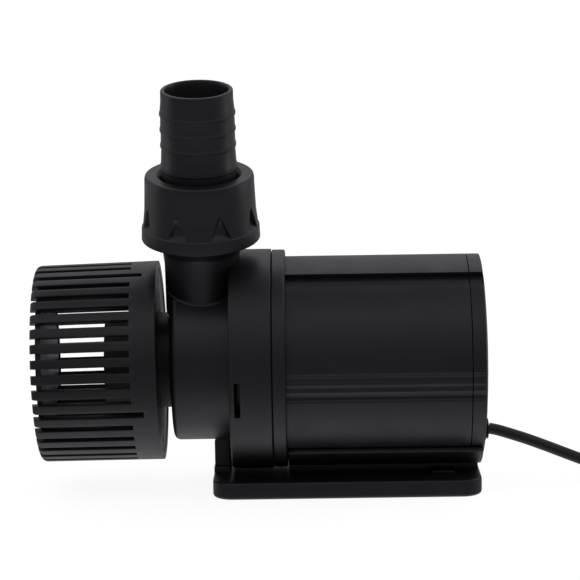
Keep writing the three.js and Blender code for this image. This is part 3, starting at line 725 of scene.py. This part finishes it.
head = {"front": -75.9, "radius": 35.6, "inner": 32.8, "step": -50.4, "ring": 48.6, "ringInner": 45.6,
        "ringBack": -32.1, "neck": 21.1, "neckBore": 18.5, "neckFront": -105.6, "throat": 15.5}
tower = {"foot": 24, "footRadius": 16, "wall": 52, "wallRadius": 17, "shoulder": 56, "thread": 20.2, "top": 78.6,
         "bore": 13.3, "fillet": 1.0, "pitch": 4, "threadDepth": 0.9}


# Wall radius by height; the foot flares by a quadratic curve from the wall to the drum's surface,
# and the thread is a triangle wave of height less angle.
def makeTower():
    angle = np.linspace(0, 2 * pi, 160, endpoint=False)[None, :]
    side = np.abs(np.sin(angle))
    flare = tower["fillet"] * np.clip((side - 0.35) / 0.4, 0, 1)
    wall = tower["footRadius"] + 0.3

    def drumTop(radius):
        return np.sqrt(np.maximum(head["radius"] ** 2 - (radius * np.sin(angle)) ** 2, 24.5**2))

    top, low, far = drumTop(wall) + flare, drumTop(wall), drumTop(wall + flare)
    share = np.linspace(0, 1, 9)[:, None]
    curveHeight = (1 - share) ** 2 * top + 2 * share * (1 - share) * low + share**2 * far
    curveRadius = (1 - share) ** 2 * wall + 2 * share * (1 - share) * wall + share**2 * (wall + flare)
    rows = [(tower["foot"] * np.ones_like(angle), 0 * angle), (tower["foot"] * np.ones_like(angle), wall + flare)]
    rows += [(curveHeight[i:i + 1], curveRadius[i:i + 1]) for i in range(8, -1, -1)]
    upper = roundedProfile([(46, wall), (tower["wall"], tower["wallRadius"], 3), (tower["shoulder"], 20.2, 0.4),
                            (57.2, 20.2)], loop=False)
    rows += [(np.full_like(angle, h), np.full_like(angle, r)) for h, r in upper]
    for h in np.linspace(57.6, tower["top"] - 0.2, 64):
        wave = np.abs(((h / tower["pitch"] - angle / (2 * pi)) % 1) - 0.5) * 2
        fade = min(1, (h - 57.4) / 2) * min(1, (tower["top"] - h) / 1.2)
        rows.append((np.full_like(angle, h), tower["thread"] - tower["threadDepth"] * wave * fade))
    rows += [(np.full_like(angle, tower["top"]), np.full_like(angle, radius)) for radius in (19.4, 0)]
    points = np.concatenate([aboutZ(h, r, angle) for h, r in rows])
    place = moved(pump["outletX"], 0, 0)
    return makeMesh("tower", points, gridFaces(len(points), angle.size, False, True), place)


# A stepped drum turned about X joins the tower and is hollowed along both axes, then gets windows, vanes and ledges.
def makeVoluteCover():
    seat = head["step"] + 2
    drum = turned("voluteCover", [
        (head["neckFront"], 0), (head["neckFront"], head["neck"], 0.7), (head["front"], head["neck"], 1.4),
        (head["front"], head["radius"], 2.6), (head["step"], head["radius"], 0.8), (head["step"], head["ring"], 1.1),
        (head["ringBack"], head["ring"], 0.6), (head["ringBack"], 0)], 240, loop=False)
    combine(drum, makeTower())
    combine(drum, turned("hollow", [
        (-110, 0), (-110, head["neckBore"]), (head["front"] - 3, head["neckBore"]), (head["front"] - 1, head["throat"]),
        (head["front"] + 3, head["throat"]), (head["front"] + 3, head["inner"]), (seat, head["inner"]),
        (seat, head["ringInner"]), (-20, head["ringInner"]), (-20, 0)], 200, loop=False), "DIFFERENCE")
    bore = turned("bore", [(10, 0), (10, tower["bore"]), (90, tower["bore"]), (90, 0)], 120, aboutZ,
                  moved(pump["outletX"], 0, 0), loop=False)
    combine(drum, bore, "DIFFERENCE")
    windows = []
    for i in range(3):
        reach = radians(9.5) * 47
        windows.append(roundedBox("window", (seat + 0.2, -reach, 44), (seat + 2.8, reach, 51), 0.4, cells=(2, 12, 2),
                                  bend=wrapped(120 * i, 47)))
    windows.append(roundedBox("notch", (-32.7, -1.2, 47.5), (-31.4, 1.2, 50), 0.3,
                              place=Matrix.Rotation(-radians(pump["headLean"]), 4, "X")))
    combine(drum, gather(windows, "windows"), "DIFFERENCE")
    shells = [drum, turned("spider", [(-79, 4.95), (-79, 6.5, 0.5), (-73, 6.5, 0.5), (-73, 4.95)], 48)]
    for i in range(3):
        turn = Matrix.Rotation(-radians(120 * i + 30), 4, "X")
        shells.append(roundedBox("vane", (-78.6, -16, -1), (-73.9, -6.2, 1), 0.5, place=turn))
        reach = radians(10) * 44
        shells.append(roundedBox("ledge", (-44.9, -reach, 42.4), (-42.5, reach, 46), 0.3, cells=(2, 10, 2),
                                 bend=wrapped(120 * i, 44)))
    whole = gather(shells, "voluteCover")
    whole.data.transform(inHead)
    return whole


finishPiece(makeVoluteCover(), "head", ["volute_cover"], 30)
print("head made")

tail = {"bore": 13.4, "lip": 15.6, "flange": 19.6, "top": 124.3, "ridges": (100, 107, 114), "waist": 15.95,
        "crest": 16.4}


# Each ridge has a steep lower side, a narrow crest and a long taper above it.
def makeHoseTail():
    outline = [(80.6, tail["bore"]), (80.6, tail["flange"], 0.3), (83.2, tail["flange"], 0.3), (83.2, 16.2, 0.4),
               (88.9, 16.2, 0.3), (89.4, 16.55, 0.25), (91.4, 16.55, 0.3), (92.2, 16.3)]
    for ridge in tail["ridges"]:
        outline += [(ridge - 1, tail["waist"], 0.25), (ridge - 0.6, tail["crest"], 0.2),
                    (ridge + 0.4, tail["crest"], 0.2), (ridge + 0.8, 16.1, 0.2)]
    outline += [(119.5, tail["lip"] + 0.05, 3), (tail["top"], tail["lip"], 0.7), (tail["top"], 13.9, 0.5),
                (tail["top"] - 1.6, tail["bore"])]
    return turned("hoseTail", outline, 160, aboutZ, inOutlet)


nut = {"bottom": 57.4, "rimTop": 63.5, "top": 86.6, "rim": 25.9, "bore": 20.6, "opening": 16.9, "flutes": 8,
       "fluteTop": 73.2, "fluteHalf": 4.1, "fluteDepth": 1.7, "fluteTurn": 24,
       "fluteRadius": 24.5, "fluteEdge": 0.6}


# Columns of the grid follow each flute's sides, which spread in a straight line from its apex down to the rim.
def makeUnionNut():
    heights = np.concatenate([np.linspace(63.6, nut["fluteTop"] + 0.6, 26), [76, 79, 82]])
    body = np.interp(heights, [63.6, 66.7, 70.7, 81, 85], [25.1, 24.75, 24.3, 23.85, 23.75])
    lower = roundedProfile([(50, nut["bore"]), (nut["bottom"], nut["bore"], 0.4), (nut["bottom"], nut["rim"], 0.6),
                            (nut["rimTop"] - 0.4, nut["rim"] - 0.25, 0.5), (nut["rimTop"], 25.2)], loop=False)[1:]
    upper = roundedProfile([(85, 23.75), (nut["top"], 23.4, 1.1), (nut["top"], 18.5, 0.4), (84.9, nut["opening"], 0.4),
                            (83.5, nut["opening"]), (83.5, nut["bore"]), (nut["bottom"], nut["bore"])],
                           loop=False)[:-1]
    rows = np.vstack([lower, np.stack([heights, body], -1), upper])
    station, radius = rows[:, :1], rows[:, 1:]
    # Shares from -1 to 1 run across a flute, and those past 1 run on to the next.
    share = np.concatenate([np.linspace(-1, 1, 9), 1.06 + np.linspace(0, 1, 15)[:-1] * 0.94])
    inFlute = np.clip((nut["fluteTop"] - station) / (nut["fluteTop"] - nut["rimTop"]), 0.02, 1) * nut["fluteHalf"]
    half = np.degrees(inFlute / nut["fluteRadius"])
    ramp = nut["fluteEdge"]
    sector = 360 / nut["flutes"]
    offset = np.where(share[None, :] <= 1, share[None, :] * half,
                      half + ramp + (share[None, :] - 1.06) / 0.94 * (sector - 2 * half - 2 * ramp))
    floor = share[None, :] <= 1
    onBody = (station > nut["rimTop"] - 0.01) & (station < nut["fluteTop"]) & (radius > 23)
    depth = nut["fluteDepth"] * np.clip((nut["fluteTop"] - station) / 5 + 0.35, 0, 1)
    depth = depth * np.clip((station - nut["rimTop"]) / 2.2 + 0.05, 0, 1)
    starts = np.arange(nut["flutes"]) * sector + nut["fluteTurn"]
    angle = np.radians(starts[None, :, None] + offset[:, None, :]).reshape(len(rows), -1)
    sunk = np.tile((floor & onBody) * depth, (1, nut["flutes"]))
    points = aboutZ(station, radius - sunk, angle)
    return makeMesh("unionNut", points, gridFaces(len(rows), angle.shape[1], True, True), inOutlet)


finishPiece(makeHoseTail(), "tail", ["hose_tail"])
finishPiece(makeUnionNut(), "nut", ["union_nut"], 30)
print("tail and nut made")

basket = {"back": -81.5, "front": -135.4, "backRadius": 44.1, "frontRadius": 43.5, "wall": 3, "corner": 2.2,
          "plateFront": -133.2, "plateBack": -131.6, "slots": 40, "slotWidth": 2.9, "slotEnd": -92.6,
          "longEnd": -87.5, "firstSlot": 4.5, "longSlots": (67.5, 157.5, 247.5, 337.5)}


# Outer and inner surfaces share one grid whose columns follow the slots' sides; cells in a slot are left out,
# and walls join the two surfaces wherever a kept cell meets a slot.
def makeStrainerBasket():
    wall, corner = basket["wall"], basket["corner"]
    stations = np.array([basket["back"], -84.5, basket["longEnd"], -90, basket["slotEnd"], -100, -110, -120, -127,
                         basket["front"] + corner])
    radius = np.interp(stations, [basket["front"], basket["back"]], [basket["frontRadius"], basket["backRadius"]])
    outer = np.stack([stations, radius], -1)
    inside = basket["frontRadius"] - wall
    turn = np.linspace(0, pi / 2, 7)[1:]
    arc = np.stack([basket["front"] + corner * (1 - np.sin(turn)),
                    basket["frontRadius"] - corner * (1 - np.cos(turn))], -1)
    faceRadius = np.array([inside - 0.3, inside - 0.9, 36, 30, 22, 14, 6, 0])
    tip = np.array([[basket["front"], inside + 0.1], [basket["plateFront"], inside]])
    outer = np.vstack([outer, arc, tip, np.stack([np.full_like(faceRadius, basket["plateFront"]), faceRadius], -1)])
    inner = np.stack([stations[:-1], radius[:-1] - wall], -1)
    behindTips = np.stack([basket["plateBack"] + np.linspace(1.25, 0.8, 9), np.full(9, inside)], -1)
    depth = basket["plateBack"] + np.array([0.2, 0, 0, 0, 0, 0, 0, 0])
    inner = np.vstack([inner, behindTips, np.stack([depth, faceRadius], -1)])
    sector = 360 / basket["slots"]
    centre = basket["firstSlot"] + np.arange(basket["slots"]) * sector
    guide = np.maximum(outer[:, 1:], inside)
    half = np.degrees(np.arcsin(basket["slotWidth"] / 2 / guide))
    share = np.array([-1, 0, 1, 1.25, 1.5, 1.75])
    offset = np.where(share[None, :] <= 1, share[None, :] * half,
                      half + (share[None, :] - 1) * (sector - 2 * half))
    angle = np.radians(centre[None, :, None] + offset[:, None, :]).reshape(len(outer), -1)
    rows, columns = angle.shape
    isLong = np.isin(centre, basket["longSlots"])
    slotCell = np.tile([True, True, False, False, False, False], basket["slots"])
    longCell = np.repeat(isLong, 6)
    station, radial = outer[:-1, :1], outer[1:, 1:]
    nearly = 0.01
    isOpen = slotCell & (radial >= inside - nearly) & (
        (station <= basket["slotEnd"] + nearly) | (longCell & (station <= basket["longEnd"] + nearly)))
    kept = ~isOpen
    shell = [aboutX(line[:, :1], line[:, 1:], angle) for line in (outer, inner)]
    size = rows * columns
    quads = gridFaces(rows, columns, False, True)[kept.ravel()]
    faces = [quads, quads[:, ::-1] + size]
    row, column = np.nonzero(kept != np.roll(kept, 1, axis=1))
    a, b = row * columns + column, (row + 1) * columns + column
    faces.append(np.stack([a, b, b + size, a + size], -1))
    row, column = np.nonzero(kept[1:] != kept[:-1])
    a, b = (row + 1) * columns + column, (row + 1) * columns + (column + 1) % columns
    faces.append(np.stack([a, b, b + size, a + size], -1))
    rim = np.arange(columns)
    faces.append(np.stack([rim, (rim + 1) % columns, (rim + 1) % columns + size, rim + size], -1))
    points = np.concatenate([side.reshape(-1, 3) for side in shell])
    cup = makeMesh("strainerBasket", points, np.concatenate(faces), inStrainer)
    return softenEdges(cup, 0.32, 50)


# A ring turned about X, with four holes through it.
def makeStrainerBack():
    disc = turned("strainerBack", [(-85, 21.6, 0.4), (-85, 40.8, 0.5), (-82, 40.8, 0.5), (-82, 21.6, 0.4)], 160,
                  place=inStrainer)
    tools = []
    for angle in (97, 277):
        for radius in (29.4, 35.2):
            spot = inStrainer @ Matrix.Rotation(-radians(angle), 4, "X") @ moved(0, -radius, 0)
            tools.append(turned("hole", [(-90, 0), (-90, 1.7), (-80, 1.7), (-80, 0)], 24, place=spot, loop=False))
    return combine(disc, gather(tools, "holes"), "DIFFERENCE")


finishPiece(makeStrainerBasket(), "strainer", ["strainer_basket"], 38)
finishPiece(makeStrainerBack(), "strainer", ["strainer_back"])
print("strainer made")

# The sky's strength by direction height: a white table below, a dim room level with the pump and a soft ceiling
# above, with the glow of a pale wall behind added to it. Lengths in this one are metres.
studio = {
    "sky": [(-1, 0.85), (-0.88, 0.75), (-0.6, 0.32), (-0.35, 0.22), (0.2, 0.2), (0.6, 0.45), (0.87, 0.75),
            (0.97, 0.15)],
    "backGlow": 0.2, "tint": (0.97, 0.94, 1),
    "floorSize": 28, "floorGlow": 0.9, "floorColour": 0.3, "backdropRadius": 15, "backdropGlow": 1.0,
    "lamps": {
        "left": {"place": (-1.3, 0.35, 0.25), "target": (0, 0, 0.08), "size": (0.5, 0.9), "power": 0.8},
        "right": {"place": (1.3, 0.3, 0.25), "target": (0, 0, 0.08), "size": (0.5, 0.9), "power": 1.5},
        "top": {"place": (0.0, 0.7, 1.2), "target": (0, 0, 0.06), "size": (1.3, 0.6), "power": 0.6},
    },
}


# Floor and backdrop show to the camera only, so the black plastic takes its light from the sky and the lamps.
def makeBackdrop(name, shape, glow, colour):
    shape.name = name
    material = bpy.data.materials.new(name)
    material.use_nodes = True
    shader = material.node_tree.nodes["Principled BSDF"]
    shader.inputs["Base Color"].default_value = (colour, colour, colour, 1)
    shader.inputs["Roughness"].default_value = 0.9
    shader.inputs["Specular IOR Level"].default_value = 0
    shader.inputs["Emission Color"].default_value = (1, 1, 1, 1)
    shader.inputs["Emission Strength"].default_value = glow
    shape.data.materials.append(material)
    shape.visible_diffuse = False
    shape.visible_glossy = False
    shape.visible_shadow = False


# A rectangular lamp points from its place to its target.
def makeLight(name, place, target, size, power):
    data = bpy.data.lights.new(name, "AREA")
    data.shape = "RECTANGLE"
    data.size, data.size_y = size
    data.energy = power
    light = bpy.data.objects.new(name, data)
    bpy.context.collection.objects.link(light)
    light.location = place
    light.rotation_euler = (Vector(target) - Vector(place)).to_track_quat("-Z", "Y").to_euler()


# The strength is the sky's ramp over the direction's height, plus the glow behind.
def makeWorld():
    world = bpy.data.worlds.new("studio")
    world.use_nodes = True
    tree = world.node_tree
    height = addNode(tree, "ShaderNodeSeparateXYZ", {0: addNode(tree, "ShaderNodeTexCoord").outputs["Generated"]})
    share = addNode(tree, "ShaderNodeMapRange", {"Value": height.outputs["Z"], "From Min": -1, "From Max": 1})
    ramp = addNode(tree, "ShaderNodeValToRGB", {0: share.outputs[0]})
    stops = ramp.color_ramp.elements
    for k, (level, glow) in enumerate(studio["sky"]):
        stop = stops[k] if k < 2 else stops.new(1)
        stop.position = (level + 1) / 2
        stop.color = (glow, glow, glow, 1)
    behind = addNode(tree, "ShaderNodeMapRange", {"Value": height.outputs["Y"], "From Min": 0.3, "From Max": 0.9,
                                                  "To Max": studio["backGlow"]})
    strength = mathNode(tree, "ADD", ramp.outputs[0], behind.outputs[0])
    background = tree.nodes["Background"]
    background.inputs["Color"].default_value = (*studio["tint"], 1)
    tree.links.new(strength, background.inputs["Strength"])
    bpy.context.scene.world = world


bpy.ops.mesh.primitive_plane_add(size=studio["floorSize"])
makeBackdrop("floor", bpy.context.object, studio["floorGlow"], studio["floorColour"])
bpy.ops.mesh.primitive_uv_sphere_add(segments=48, ring_count=24, radius=studio["backdropRadius"])
makeBackdrop("backdrop", bpy.context.object, studio["backdropGlow"], 0)
makeWorld()
for name, lamp in studio["lamps"].items():
    makeLight(name, **lamp)
bpy.context.scene.view_settings.view_transform = "Standard"
print("studio made")
